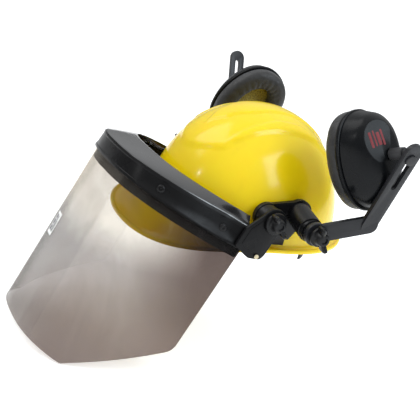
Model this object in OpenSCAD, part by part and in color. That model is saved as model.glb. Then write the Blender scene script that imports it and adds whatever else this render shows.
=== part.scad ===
// Arborist helmet: hard hat with a flip-up face shield and swing-away ear muffs.
// +Z is up, the front of the helmet faces -Y and +X is the wearer's left.
// The origin is at the middle of the rim, in the plane of its lower edge.

/* [Shell] */
// Width of the rim over its lip
rim_w = 220; // [210:1:230]
// Reach of the rim behind the origin
rim_rear = 131; // [125:1:136]
// Reach of the peak in front of the origin
peak_reach = 157; // [150:1:162]
// Drop of the peak's tip below the rim
peak_drop = 15; // [10:1:20]
// Half width of the dome at its foot
dome_w = 101; // [98:1:103]
// Front reach of the dome
dome_front = 120; // [116:1:122]
// Rear reach of the dome
dome_rear = 116; // [112:1:118]
// Height of the dome above the rim
dome_h = 138; // [135:1:141]
// Wall thickness of the shell
wall = 2.8; // [2.4:0.1:3.2]
// Height of the raised crown panels and ribs
rib_h = 1.8; // [1.2:0.1:2.6]

/* [Face shield] */
// Pivot of the face shield, measured back from the origin
visor_y = -32.5; // [-36:0.5:-30]
// Height of the face shield's pivot
visor_z = 42; // [40:1:44]
// Upward tilt of the shield as it is stored
visor_tilt = 21; // [19:0.5:21]
// Half width of the carrier band
band_w = 118; // [117:0.5:120]
// Reach of the carrier band in front of its pivot
band_reach = 152.5; // [150:0.5:155]
// Depth of the clear sheet below the band at the front
sheet_front = 207; // [190:1:215]
// Depth of the clear sheet below the band at its side edges
sheet_side = 136; // [120:1:150]
// Thickness of the clear sheet
sheet_t = 1.0; // [0.8:0.1:1.2]

/* [Ear muffs] */
// Pivot of the muff arms, measured back from the origin
muff_y = 1; // [0:0.5:3]
// Height of the muff arms' pivot
muff_z = 45; // [43:1:47]
// Outward lean of the upper part of each arm
arm_lean = 17; // [15:0.5:18]
// Width of the arms
arm_w = 20; // [18:0.5:21]
// Place of the left cup's pin along its arm
left_pin_at = 89; // [80:0.5:89]
// Place of the right cup's pin along its arm
right_pin_at = 59.5; // [57:0.5:85]
// Outward rock of the right arm on its seat
right_arm_out = 5.5; // [5:0.5:6]
// Half height of an ear cup
cup_h = 54; // [52:0.5:55]
// Half width of an ear cup
cup_w = 39.8; // [38:0.2:41]
// Depth of an ear cup's shell
cup_depth = 42; // [40:0.5:43]
// Thickness of the ear cushions
cushion_t = 18.5; // [16:0.5:19]

/* [Suspension] */
// Half width of the headband
band_half_w = 78; // [74:1:80]
// Half length of the headband
band_half_l = 95; // [92:1:97]
// Height of the headband
headband_h = 28; // [24:1:30]

/* [Hidden] */
$fn = 48;

gap = 0.3;                                      // free space between neighbouring soft or curved pieces
rim_half = rim_w / 2;
dome_power = 2.1;                               // roundness of the dome's sections
rim_power = 2.15;                               // roundness of the rim's outline
peak_flare = 0.46;                              // how much wider the rim gets towards the peak
lip_t = 4.5;                                    // height of the lip
gutter = 2;                                     // rise from the lip to the dome's foot
foot_rise = 10;                                 // rise of the dome's foot above the peak
ring_n = 96;                                    // points round the shell
dome_n = 20;                                    // rings up the dome

band_top = -18.3;                               // carrier band, heights in the shield's own frame
band_low = -44.9;
band_dip = 4.7;                                 // how far the top edge drops at the front
band_top_w = 109;
band_t = 3;
side_start = 2.2;                               // forward offset of the band's ends from the pivot
band_n = 64;                                    // steps along the band
guard_w = 100.8;                                // inner edge of the brow guard
guard_reach = 113.9;
guard_low = -10.2;
guard_t = 2.2;
sheet_rake = 1.4;                               // inward lean of the clear sheet
sheet_straight = 102;                           // half width of the sheet's level lower edge
sheet_head = 14;                                // overlap of the sheet and the band
strip_low = -56;                                // lower edge of the inner clamp strip
strip_top = band_low + sheet_head;
strip_t = 2;
clamp_gap = 0.5;                                // space on each side of the sheet in its clamp

adapter_x = 98.5;                               // side plates
adapter_t = 5.5;
visor_boss_end = 116.5;
ear_x = 117;                                    // pivot ears of the carrier
ear_t = 5;
stud_r = 4;
muff_base_y = 8.5;                              // foot of the long muff boss
muff_base_z = 48;
muff_boss_r = 14;
muff_boss_end = 145;
seat_x = 145.6;
seat_t = 2.3;
knob_gap = 4;                                   // room for the eye to rock under its knob
eye_x = 149.5;                                  // inner face of the arm's eye
arm_t = 5;
arm_yaw = 12;                                   // outward slant of the arm's lower part
arm_rise = 21;                                  // upward slant of the arm's lower part
arm_low = 60.4;                                 // length of the arm's lower part, eye to bend
arm_up = 97;                                    // length of the arm's upper part
slot_from = 53.5;
slot_to = 91;
slot_r = 3.3;
pin_r = 3;
ball_drop = 10;                                 // ball centre inside the arm's middle plane
ball_r = 4.5;
spigot_r = 1.8;
socket_r = 6.5;
ball_reach = 16.5;                               // ball centre outside the cup's outer face
neck_up = 5;                                    // ball centre above the middle of the cup
left_cup_angles = [18.3, -23.7, 12];            // attitude of each cup, about X, Y and Z in turn
right_cup_angles = [31.9, -7.6, 169.6];

// ---------- general shapes ----------

function keep_sign(a) = a < 0 ? -1 : 1;
function power_of(a, p) = keep_sign(a) * pow(abs(a), p);
function smooth(a) = let(t = min(max(a, 0), 1)) t * t * (3 - 2 * t);

// Point of a superellipse outline with half sizes a and b
function round_pt(a, b, p, th) = [a * power_of(cos(th), 2 / p), b * power_of(sin(th), 2 / p)];
function outline(a, b, p, n = 64) = [for (i = [0:n - 1]) round_pt(a, b, p, 360 * i / n)];

function mean(pts) = [for (k = [0:2]) [for (p = pts) p[k]] * [for (p = pts) 1] / len(pts)];

// Solid skinned over a list of closed rings; the ends are capped, or joined when loop is true
module skin(rings, loop = false) {
    m = len(rings);
    n = len(rings[0]);
    last = loop ? m - 1 : m - 2;
    sides = [for (i = [0:last]) for (j = [0:n - 1])
        let(a = i * n + j, b = i * n + (j + 1) % n,
            c = ((i + 1) % m) * n + (j + 1) % n, d = ((i + 1) % m) * n + j)
        each [[a, b, c], [a, c, d]]];
    caps = loop ? [] : [for (j = [0:n - 1])
        each [[m * n, (j + 1) % n, j], [m * n + 1, (m - 1) * n + j, (m - 1) * n + (j + 1) % n]]];
    pts = [for (r = rings) each r];
    ends = loop ? [] : [mean(rings[0]), mean(rings[m - 1])];
    polyhedron(points = concat(pts, ends), faces = concat(sides, caps));
}

// ---------- helmet shell ----------

// th is 0 at the front and runs round towards the wearer's left
function rim_pt(th, inset, z) =
    let(k = max(cos(th), 0), w = rim_half - inset,
        front = cos(th) > 0,
        y = front ? -(peak_reach - inset) * cos(th)
                  : (rim_rear - inset) * pow(-cos(th), 2 / rim_power))
    [w * power_of(sin(th), 2 / rim_power) * (1 + peak_flare * k * k), y, z - peak_drop * k * k];

// Raised centre panel and crown rib, as a rise above the plain dome
function rise(x, y) =
    let(edge = -101 + 20 * pow(x / 41, 2),
        panel = smooth((46 - abs(x)) / 7) * smooth((y - edge) / 6) * smooth((96 - y) / 14),
        rib = smooth((17 - abs(x)) / 6) * smooth((y + 78) / 8) * smooth((88 - y) / 14))
    rib_h * (panel + rib);

// Point of the dome; up runs from 0 at the rim's level to 90 at the top
function dome_pt(th, up, inset) =
    let(r = pow(cos(up), 2 / dome_power), h = pow(sin(up), 2 / dome_power),
        reach = cos(th) > 0 ? dome_front : dome_rear,
        x = dome_w * r * power_of(sin(th), 2 / dome_power),
        y = -reach * r * power_of(cos(th), 2 / dome_power),
        more = (rise(x, y) - inset))
    [x * (1 + more / dome_w), y * (1 + more / reach), (dome_h + more) * h];

function up_at(z) = asin(pow(z / dome_h, dome_power / 2));
function foot_z(th) = lip_t + gutter + foot_rise * pow(max(cos(th), 0), 2);

module helmet_shell() {
    th = [for (i = [0:ring_n - 1]) 360 * i / ring_n];
    outer = [for (k = [0:dome_n - 1]) let(s = 1 - pow(1 - k / dome_n, 1.15))
        [for (a = th) let(foot = up_at(foot_z(a))) dome_pt(a, 89.2 - s * (89.2 - foot), 0)]];
    foot = [for (a = th) dome_pt(a, up_at(foot_z(a)), 0)];
    lip = [[for (a = th) rim_pt(a, 2.5, lip_t + 0.8)], [for (a = th) rim_pt(a, 0.3, lip_t - 0.8)],
        [for (a = th) rim_pt(a, 0.3, 0.6)], [for (a = th) rim_pt(a, 1.6, 0)]];
    inner_foot = [for (a = th) let(p = dome_pt(a, up_at(foot_z(a) - lip_t), wall))
        [p[0], p[1], foot_z(a) - lip_t - gutter]];
    inner = [for (k = [0:dome_n]) let(s = pow(k / dome_n, 1.15))
        [for (a = th) let(foot = up_at(foot_z(a) - 2)) dome_pt(a, foot + s * (88.8 - foot), wall)]];
    color([0.98, 0.84, 0.05])
        skin(concat(outer, [foot], lip, [inner_foot], inner));
}

// ---------- suspension ----------

module oval_ring(a, b, t, z0, h) {
    translate([0, 0, z0])
        linear_extrude(h)
            difference() {
                polygon(outline(a, b, 2.2));
                polygon(outline(a - t, b - t, 2.2));
            }
}

module headband() {
    color([0.12, 0.12, 0.13])
        oval_ring(band_half_w, band_half_l, 2, -4, headband_h);
}

module sweatband() {
    color([0.2, 0.2, 0.22])
        intersection() {
            oval_ring(band_half_w - 2 - gap, band_half_l - 2 - gap, 4, -2, headband_h - 4);
            translate([-60, -120, -20])
                cube([120, 70, 60]);
        }
}

// Web of the crown cradle, an arch across the shell turned by angle
module crown_strap(angle, lift, span) {
    n = 40;
    crest = 100 + lift;
    foot = 30;
    arch = [for (i = [0:n]) let(a = 180 * i / n)
        [span * power_of(cos(a), 2 / 2.4), foot + (crest - foot) * pow(max(sin(a), 0), 2 / 2.4)]];
    low = [for (i = [0:n]) let(a = 180 * (n - i) / n)
        [(span - 1.6) * power_of(cos(a), 2 / 2.4),
            foot + (crest - foot - 1.6) * pow(max(sin(a), 0), 2 / 2.4)]];
    color([0.1, 0.1, 0.11])
        rotate([0, 0, angle])
            rotate([90, 0, 0])
                translate([0, 0, -9])
                    linear_extrude(18)
                        polygon(concat(arch, low));
}

module crown_strap_front() {
    crown_strap(strap_angle, 0, 95);
}

module crown_strap_middle() {
    crown_strap(0, 2.4, 82.5);
}

module crown_strap_rear() {
    crown_strap(-strap_angle, 4.8, 95);
}

clip_steps = [0, 10, 22, 32, 42, 54];             // their places on the headband's outline
strap_angle = 58;

// Blocks that hang the headband and the straps on the shell
module harness_clips() {
    ring = outline(band_half_w, band_half_l, 2.2);
    color([0.1, 0.1, 0.11])
        for (i = clip_steps) {
            along = ring[(i + 1) % 64] - ring[(i + 63) % 64];
            translate([ring[i][0], ring[i][1], 6])
                rotate([0, 0, atan2(along[1], along[0]) - 90])
                    translate([0.2, -11, 0])
                        cube([5, 22, 23.5]);
        }
}

module nape_strap() {
    color([0.12, 0.12, 0.13])
        intersection() {
            oval_ring(band_half_w - 2 - gap, band_half_l - 2 - gap, 2, -28, 18);
            translate([-58, 30, -40])
                cube([116, 100, 60]);
        }
}

nape_y = band_half_l - 1.6;

module nape_housing() {
    color([0.1, 0.1, 0.11])
        translate([0, nape_y, -19])
            rotate([-90, 0, 0])
                difference() {
                    union() {
                        translate([-30, -9, 0])
                            cube([60, 18, 6]);
                        cylinder(r = 15, h = 6);
                    }
                    translate([0, 0, 2])
                        cylinder(r = 4.1, h = 10);
                }
}

module nape_knob() {
    color([0.1, 0.1, 0.11])
        translate([0, nape_y + 6 + gap, -19])
            rotate([-90, 0, 0])
                union() {
                    difference() {
                        cylinder(r = 14.5, h = 8);
                        for (a = [0:24:336])
                            rotate([0, 0, a])
                                translate([15.6, 0, -1])
                                    cylinder(r = 2, h = 12, $fn = 16);
                    }
                    translate([0, 0, -4])
                        cylinder(r = 4, h = 4);
                }
}

module nape_cap() {
    color([0.85, 0.15, 0.1])
        translate([0, nape_y + 14 + gap, -19])
            rotate([-90, 0, 0])
                cylinder(r = 6, h = 1.2);
}

// Flat tabs inside the rim that take a chin strap's pins, each [x of its outer end, y]
lug_spots = [[97.2, -24], [91, 48]];
lug_reach = 8.5;

module chin_strap_lugs() {
    color([0.1, 0.1, 0.11])
        for (side = [-1, 1])
            for (spot = lug_spots)
                translate([side * (spot[0] - lug_reach), spot[1], -1])
                    difference() {
                        union() {
                            translate([side * lug_reach / 2 - lug_reach / 2, -7, 0])
                                cube([lug_reach, 14, 3]);
                            cylinder(r = 7, h = 3);
                        }
                        translate([0, 0, -1])
                            cylinder(r = 3, h = 5);
                    }
}

// ---------- side adapters ----------

// Cylinder between two points, both given as [x, y, z]
module rod(from, to, r) {
    v = to - from;
    translate(from)
        rotate([0, acos(v[2] / norm(v)), atan2(v[1], v[0])])
            cylinder(r = r, h = norm(v));
}

module adapter() {
    color([0.09, 0.09, 0.1]) {
        translate([adapter_x, 0, 0])
            rotate([90, 0, 90])
                linear_extrude(adapter_t)
                    union() {
                        translate([visor_y, visor_z])
                            circle(r = 15);
                        translate([muff_base_y, muff_base_z])
                            circle(r = 16);
                        polygon([[visor_y - 4, visor_z - 14], [visor_y, visor_z + 14],
                            [muff_base_y, muff_base_z + 15], [muff_base_y + 8, muff_base_z - 13],
                            [muff_base_y - 4, 16], [visor_y + 12, 16]]);
                    }
        translate([adapter_x, visor_y + 14, 8])
            cube([3.5, 20, 12]);
        translate([adapter_x, visor_y, visor_z])
            rotate([0, 90, 0])
                cylinder(r = 14, h = visor_boss_end - adapter_x);
        translate([adapter_x, visor_y, visor_z])
            rotate([0, 90, 0])
                cylinder(r = stud_r, h = 133 - adapter_x);
        rod([adapter_x + 2, muff_base_y, muff_base_z], [muff_boss_end - 3, muff_y, muff_z], muff_boss_r);
        translate([muff_boss_end - 5, muff_y, muff_z])
            rotate([0, 90, 0])
                cylinder(r = 12.5, h = 5);
        translate([muff_boss_end - 6, muff_y, muff_z])
            rotate([0, 90, 0])
                cylinder(r = stud_r, h = 27);
    }
}

module left_adapter() {
    adapter();
}

module right_adapter() {
    mirror([1, 0, 0])
        adapter();
}

// ---------- wing knobs ----------

// Wing knob on the X axis with its flange face at x = 0; turn sets the wing's angle
module wing_knob(flange_r, turn, bore_len) {
    color([0.09, 0.09, 0.1])
        rotate([turn, 0, 0])
            difference() {
                union() {
                    rotate([0, 90, 0])
                        cylinder(r = flange_r, h = 3.5);
                    rotate([0, 90, 0])
                        cylinder(r = 7.5, h = 12);
                    translate([0, -13, -2.5])
                        cube([13, 26, 5]);
                    for (s = [-1, 1])
                        translate([13, s * 9, 0])
                            rotate([90, 0, 0])
                                translate([0, 0, -4])
                                    cylinder(r = 2.5, h = 8);
                }
                translate([-1, 0, 0])
                    rotate([0, 90, 0])
                        cylinder(r = stud_r + 0.05, h = bore_len + 1);
            }
}

module visor_washer() {
    color([0.15, 0.15, 0.16])
        translate([ear_x + ear_t + 0.2, visor_y, visor_z])
            rotate([0, 90, 0])
                difference() {
                    cylinder(r = 9, h = 1.2);
                    translate([0, 0, -1])
                        cylinder(r = stud_r + 0.2, h = 4);
                }
}

module left_visor_washer() {
    visor_washer();
}

module right_visor_washer() {
    mirror([1, 0, 0])
        visor_washer();
}

module visor_knob() {
    translate([ear_x + ear_t + 1.6, visor_y, visor_z])
        wing_knob(12.5, -52, 10);
}

module left_visor_knob() {
    visor_knob();
}

module right_visor_knob() {
    mirror([1, 0, 0])
        visor_knob();
}

// ---------- face shield, drawn in its own frame: pivot at 0, forward -Y, up +Z ----------

// Half width of the band's top edge, flaring out to the pivot ears at its ends
function top_w(t) = band_top_w + (band_w - band_top_w) * smooth((abs(t) - 74) / 14);

// Point at parameter t (-90 to 90) on a bow of half width w and reach f at height z
function bow(w, f, t, z) =
    [w * power_of(sin(t), 0.77), -(side_start + (f - side_start) * pow(max(cos(t), 0), 0.92)), z];
function front_share(t) = pow(max(cos(t), 0), 0.92);

module shield_frame() {
    translate([0, visor_y, visor_z])
        rotate([-visor_tilt, 0, 0])
            children();
}

// Point at height z and distance d inside the band's inner face
function band_share(t, z) =
    max(z - band_low, 0) / (band_top - band_dip * front_share(t) - band_low);
function wall_pt(t, z, d, lean = 0) = let(k = band_share(t, z))
    bow(band_w + k * (top_w(t) - band_w) - band_t - d, band_reach + k - band_t - d - lean, t, z);

function band_angle(i) = -90 + 180 * i / band_n;

module ear(side) {
    translate([side > 0 ? ear_x : -ear_x - ear_t, 0, 0])
        rotate([90, 0, 90])
            linear_extrude(ear_t)
                difference() {
                    union() {
                        circle(r = 15);
                        polygon([[14, 4], [14.5, -38], [12, -44], [-2, -48], [-8, -47],
                            [-26, -43], [-26, -19], [-14, 5]]);
                    }
                    circle(r = stud_r + 0.08);
                }
}

module visor_carrier() {
    rings = [for (i = [0:band_n]) let(t = band_angle(i), top = band_top - band_dip * front_share(t))
        [wall_pt(t, band_low, -band_t), wall_pt(t, strip_top, -band_t), wall_pt(t, top, -band_t),
            wall_pt(t, top, 0), wall_pt(t, strip_top, 0), wall_pt(t, band_low, 0)]];
    color([0.1, 0.1, 0.11])
        shield_frame() {
            skin(rings);
            ear(1);
            ear(-1);
        }
}

module brow_guard() {
    rings = [for (i = [2:band_n - 2])
        let(t = band_angle(i), top = band_top - band_dip * front_share(t) + gap,
            g = guard_low - 1.5 * front_share(t))
        [bow(top_w(t) - 0.2, band_reach + 0.8, t, top), bow(guard_w, guard_reach, t, g + guard_t),
            bow(guard_w, guard_reach, t, g), bow(top_w(t) - 3, band_reach - 2, t, top)]];
    color([0.07, 0.07, 0.08])
        shield_frame()
            skin(rings);
}

module visor_clamp_strip() {
    near = clamp_gap * 2 + sheet_t;
    far = near + strip_t;
    rings = [for (i = [1:band_n - 1]) let(t = band_angle(i))
        [wall_pt(t, strip_low, near), wall_pt(t, band_low, near), wall_pt(t, strip_top, near),
            wall_pt(t, strip_top, far), wall_pt(t, band_low, far), wall_pt(t, strip_low, far)]];
    color([0.12, 0.12, 0.13])
        shield_frame()
            skin(rings);
}

// Running length along the band's lower edge, from its middle
function step_len(i) = norm(bow(band_w, band_reach, band_angle(i + 1), 0) - bow(band_w, band_reach, band_angle(i), 0));
function run_len(i) = i >= band_n / 2
    ? (i == band_n / 2 ? 0 : run_len(i - 1) + step_len(i - 1))
    : run_len(band_n - i);
half_run = run_len(band_n);
function sheet_depth(i) =
    let(k = smooth((run_len(i) - sheet_straight + 12) / 24) * 0.5,
        over = max(run_len(i) - sheet_straight, 0) / (half_run - sheet_straight))
    sheet_front - (sheet_front - sheet_side) * over - k * 2;

module visor_sheet() {
    far = clamp_gap + sheet_t;
    head = band_low + sheet_head;
    rings = [for (i = [1:band_n - 1])
        let(t = band_angle(i), low = sheet_depth(i), lean = low * sin(sheet_rake))
        [wall_pt(t, band_low - low, clamp_gap, lean), wall_pt(t, band_low, clamp_gap),
            wall_pt(t, head, clamp_gap),
            wall_pt(t, head, far), wall_pt(t, band_low, far), wall_pt(t, band_low - low, far, lean)]];
    color([0.75, 0.74, 0.74, 0.4])
        shield_frame()
            skin(rings);
}

// Light snap studs at the lower ends of the carrier
module carrier_studs() {
    color([0.8, 0.72, 0.55])
        shield_frame()
            for (side = [-1, 1])
                translate([side * (ear_x + ear_t), 5, -42])
                    rotate([0, side * 90, 0])
                        cylinder(r = 2.6, h = 1.6);
}

rivet_angles = [-75, -41, 41, 75];
rivet_z = -35;

// Snap rivets through the band, the sheet and the clamp strip
module visor_rivets() {
    color([0.08, 0.08, 0.09])
        shield_frame()
            for (t = rivet_angles) {
                p = wall_pt(t, rivet_z, -band_t);
                q = wall_pt(t + 1, rivet_z, 0) - wall_pt(t - 1, rivet_z, 0);
                translate(p)
                    rotate([0, 0, atan2(q[1], q[0])])
                        rotate([90, 0, 0]) {
                            translate([0, 0, -8])
                                cylinder(r = 2, h = 10);
                            cylinder(r = 4, h = 2);
                            translate([0, 0, -9.4])
                                cylinder(r = 3.4, h = 1.6);
                        }
            }
}

label_angle = -9;
label_drop = 98;

module visor_label() {
    p = wall_pt(label_angle, band_low - label_drop, gap, label_drop * sin(sheet_rake));
    color("white")
        shield_frame()
            translate(p)
                rotate([0, 0, label_angle * 1.15])
                    translate([-8, -0.8, -14])
                        cube([16, 0.4, 28]);
}

// ---------- muff arms ----------

// Frame of the arm with its eye at 0, plate in the YZ plane
module arm_place(out) {
    translate([eye_x + arm_t / 2, muff_y, muff_z])
        rotate([0, out, 0])
            children();
}

bend = arm_low * [sin(arm_yaw), cos(arm_yaw) * cos(arm_rise), cos(arm_yaw) * sin(arm_rise)];

module upper_frame() {
    translate(bend)
        rotate([0, arm_lean, 0])
            children();
}

module bar(length, r) {
    translate([-arm_t / 2, 0, -r])
        cube([arm_t, length, 2 * r]);
}

module disc(r, t) {
    rotate([0, 90, 0])
        translate([0, 0, -t / 2])
            cylinder(r = r, h = t);
}

module arm() {
    r = arm_w / 2;
    color([0.1, 0.1, 0.11])
        difference() {
            union() {
                disc(13, arm_t);
                rotate([arm_rise, 0, 0])
                    rotate([0, 0, -arm_yaw]) {
                        translate([0, 4, 0])
                            bar(arm_low - 4, r);
                        translate([0, arm_low, 0])
                            disc(r, arm_t);
                    }
                upper_frame() {
                    disc(r, arm_t);
                    rotate([90, 0, 0])
                        bar(arm_up, r);
                    translate([0, 0, arm_up])
                        disc(r, arm_t);
                }
            }
            disc(stud_r + 1.6, arm_t * 4);
            upper_frame() {
                translate([-arm_t, -slot_r, slot_from])
                    cube([arm_t * 2, slot_r * 2, slot_to - slot_from]);
                translate([0, 0, slot_from])
                    disc(slot_r, arm_t * 2);
                translate([0, 0, slot_to])
                    disc(slot_r, arm_t * 2);
            }
        }
}

module left_arm() {
    arm_place(0)
        arm();
}

module right_arm() {
    mirror([1, 0, 0])
        arm_place(right_arm_out)
            arm();
}

// Ring under the arm's eye, with the rib that the eye rocks on
module arm_seat() {
    color([0.14, 0.14, 0.15])
        translate([seat_x, muff_y, muff_z])
            rotate([0, 90, 0])
                difference() {
                    union() {
                        cylinder(r = 11, h = seat_t - 1);
                        cylinder(r = 7, h = seat_t);
                    }
                    translate([0, 0, -1])
                        cylinder(r = stud_r + 0.06, h = seat_t + 2);
                }
}

module left_arm_seat() {
    arm_seat();
}

module right_arm_seat() {
    mirror([1, 0, 0])
        arm_seat();
}

module arm_knob() {
    translate([eye_x + arm_t + knob_gap, muff_y, muff_z])
        wing_knob(11, -68, 11);
}

module left_arm_knob() {
    arm_knob();
}

module right_arm_knob() {
    mirror([1, 0, 0])
        arm_knob();
}

// Pin that slides in the arm's slot and carries the cup's ball
module cup_pin(at) {
    color([0.32, 0.32, 0.34])
        upper_frame()
            translate([0, 0, at])
                rotate([0, 90, 0]) {
                    translate([0, 0, -arm_t / 2 - 1])
                        cylinder(r = pin_r, h = arm_t + 2);
                    translate([0, 0, -ball_drop + 1.5])
                        cylinder(r = spigot_r, h = ball_drop);
                    translate([0, 0, arm_t / 2 + gap])
                        cylinder(r = 6, h = 1.8);
                    translate([0, 0, -arm_t / 2 - gap - 1.8])
                        cylinder(r = 6, h = 1.8);
                }
}

// Swivel that turns on the pin; its ball sits in the cup's socket
module cup_ball(at) {
    color([0.2, 0.2, 0.21])
        upper_frame()
            translate([0, 0, at])
                rotate([0, 90, 0])
                    difference() {
                        union() {
                            translate([0, 0, -ball_drop])
                                sphere(r = ball_r);
                            translate([0, 0, -ball_drop])
                                cylinder(r = 3, h = ball_drop - arm_t / 2 - gap - 1.8 - 0.3);
                        }
                        translate([0, 0, -ball_drop + 1])
                            cylinder(r = spigot_r + 0.06, h = ball_drop);
                    }
}

module left_cup_pin() {
    arm_place(0)
        cup_pin(left_pin_at);
}

module right_cup_pin() {
    mirror([1, 0, 0])
        arm_place(right_arm_out)
            cup_pin(right_pin_at);
}

module left_cup_ball() {
    arm_place(0)
        cup_ball(left_pin_at);
}

module right_cup_ball() {
    mirror([1, 0, 0])
        arm_place(right_arm_out)
            cup_ball(right_pin_at);
}

// ---------- ear cups, drawn in their own frame: outward +X, up +Z, plate's inner face at x = 0 ----------

function ball_local(at) =
    [bend[0] + at * sin(arm_lean) - ball_drop * cos(arm_lean), bend[1],
        bend[2] + at * cos(arm_lean) + ball_drop * sin(arm_lean)];
function turn_y(p, a) = [p[0] * cos(a) + p[2] * sin(a), p[1], p[2] * cos(a) - p[0] * sin(a)];
eye_pt = [eye_x + arm_t / 2, muff_y, muff_z];
left_ball = eye_pt + ball_local(left_pin_at);
right_ball_m = eye_pt + turn_y(ball_local(right_pin_at), right_arm_out);
right_ball = [-right_ball_m[0], right_ball_m[1], right_ball_m[2]];

module cup_place(ball, angles) {
    translate(ball)
        rotate(angles)
            translate([-cup_depth - ball_reach, 0, -neck_up])
                children();
}

cup_n = 48;

// Ring of an ear cup at height x, inset from the full outline and moved up by rise_z
function cup_ring(x, inset, rise_z = 0) =
    [for (i = [0:cup_n - 1]) let(p = round_pt(cup_w - inset, cup_h - inset, 2.15, 360 * i / cup_n))
        [x, p[0], p[1] + rise_z]];

module cup_shell() {
    d = cup_depth;
    outer = [cup_ring(d, 28, 5), cup_ring(d * 0.92, 19.5, 5), cup_ring(d * 0.8, 13.5, 4.4),
        cup_ring(d * 0.62, 7.4, 3.2), cup_ring(d * 0.4, 3.2, 1.2), cup_ring(7, 0.8), cup_ring(5.3, 1)];
    inner = [cup_ring(5.3, 3.6), cup_ring(d * 0.38, 5.8, 1.2), cup_ring(d * 0.58, 9.8, 2.8),
        cup_ring(d * 0.76, 15.5, 4), cup_ring(d * 0.9, 22, 4.8), cup_ring(d - 2.5, 29, 5)];
    color([0.1, 0.1, 0.11])
        skin(concat(outer, inner));
}

// Collar on the cup's face; its pocket holds the ball
module cup_socket() {
    color([0.12, 0.12, 0.13])
        translate([cup_depth + 0.05, 0, neck_up])
            difference() {
                rotate([0, 90, 0])
                    cylinder(r = socket_r, h = ball_reach - 0.4);
                translate([ball_reach, 0, 0])
                    sphere(r = ball_r + 0.08);
            }
}

module cup_plate() {
    color([0.08, 0.08, 0.09])
        rotate([90, 0, 90])
            linear_extrude(5)
                difference() {
                    polygon(outline(cup_w + 1.5, cup_h + 1.5, 2.15, cup_n));
                    polygon(outline(cup_w - 10, cup_h - 10, 2.15, cup_n));
                }
}

hole_w = 19.5;
hole_h = 31.3;

function hole_ring(x, inset) =
    [for (i = [0:cup_n - 1]) let(p = round_pt(hole_w - inset, hole_h - inset, 2.1, 360 * i / cup_n))
        [x, p[0], p[1]]];

module cushion() {
    t = cushion_t;
    color([0.13, 0.13, 0.14])
        skin([cup_ring(-gap, 1), cup_ring(-t * 0.25, 0), cup_ring(-t * 0.55, 0), cup_ring(-t * 0.82, 2),
            cup_ring(-t * 0.96, 6), cup_ring(-t, 10), hole_ring(-t, -4), hole_ring(-t * 0.94, -1),
            hole_ring(-t * 0.75, 0), hole_ring(-gap, 0)], true);
}

module foam() {
    color([0.45, 0.38, 0.12])
        translate([gap, 0, 0])
            rotate([90, 0, 90])
                linear_extrude(13)
                    polygon(outline(cup_w - 10.5, cup_h - 10.5, 2.15, cup_n));
}

// Plain bars printed on the cup's face
module cup_mark() {
    color([0.55, 0.12, 0.1])
        translate([cup_depth - 2.9, -11.4, 25.6])
            rotate([0, -10, -17.7])
                for (k = [-1:1])
                    translate([-0.1, k * 4.6 - 1.4, -6])
                        cube([2, 2.8, 12]);
}

module left_cup_shell() {
    cup_place(left_ball, left_cup_angles)
        cup_shell();
}

module right_cup_shell() {
    cup_place(right_ball, right_cup_angles)
        cup_shell();
}

module left_cup_socket() {
    cup_place(left_ball, left_cup_angles)
        cup_socket();
}

module right_cup_socket() {
    cup_place(right_ball, right_cup_angles)
        cup_socket();
}

module left_cup_plate() {
    cup_place(left_ball, left_cup_angles)
        cup_plate();
}

module right_cup_plate() {
    cup_place(right_ball, right_cup_angles)
        cup_plate();
}

module left_cushion() {
    cup_place(left_ball, left_cup_angles)
        cushion();
}

module right_cushion() {
    cup_place(right_ball, right_cup_angles)
        cushion();
}

module left_foam() {
    cup_place(left_ball, left_cup_angles)
        foam();
}

module right_foam() {
    cup_place(right_ball, right_cup_angles)
        foam();
}

module left_cup_mark() {
    cup_place(left_ball, left_cup_angles)
        cup_mark();
}

module right_cup_mark() {
    cup_place(right_ball, right_cup_angles)
        cup_mark();
}

helmet_shell();
headband();
sweatband();
crown_strap_front();
crown_strap_middle();
crown_strap_rear();
harness_clips();
nape_strap();
nape_housing();
nape_knob();
nape_cap();
chin_strap_lugs();
left_adapter();
right_adapter();
left_visor_washer();
right_visor_washer();
left_visor_knob();
right_visor_knob();
visor_carrier();
brow_guard();
visor_clamp_strip();
visor_sheet();
visor_rivets();
carrier_studs();
visor_label();
left_arm_seat();
left_arm();
left_arm_knob();
left_cup_pin();
left_cup_ball();
left_cup_shell();
left_cup_socket();
left_cup_plate();
left_cushion();
left_foam();
left_cup_mark();
right_arm_seat();
right_arm();
right_arm_knob();
right_cup_pin();
right_cup_ball();
right_cup_shell();
right_cup_socket();
right_cup_plate();
right_cushion();
right_foam();
right_cup_mark();
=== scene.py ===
"""Arborist helmet: a yellow hard hat with a flip-up clear face shield and swing-away ear muffs."""

import math

import bmesh
import bpy
from mathutils import Euler, Matrix, Vector, noise


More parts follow.
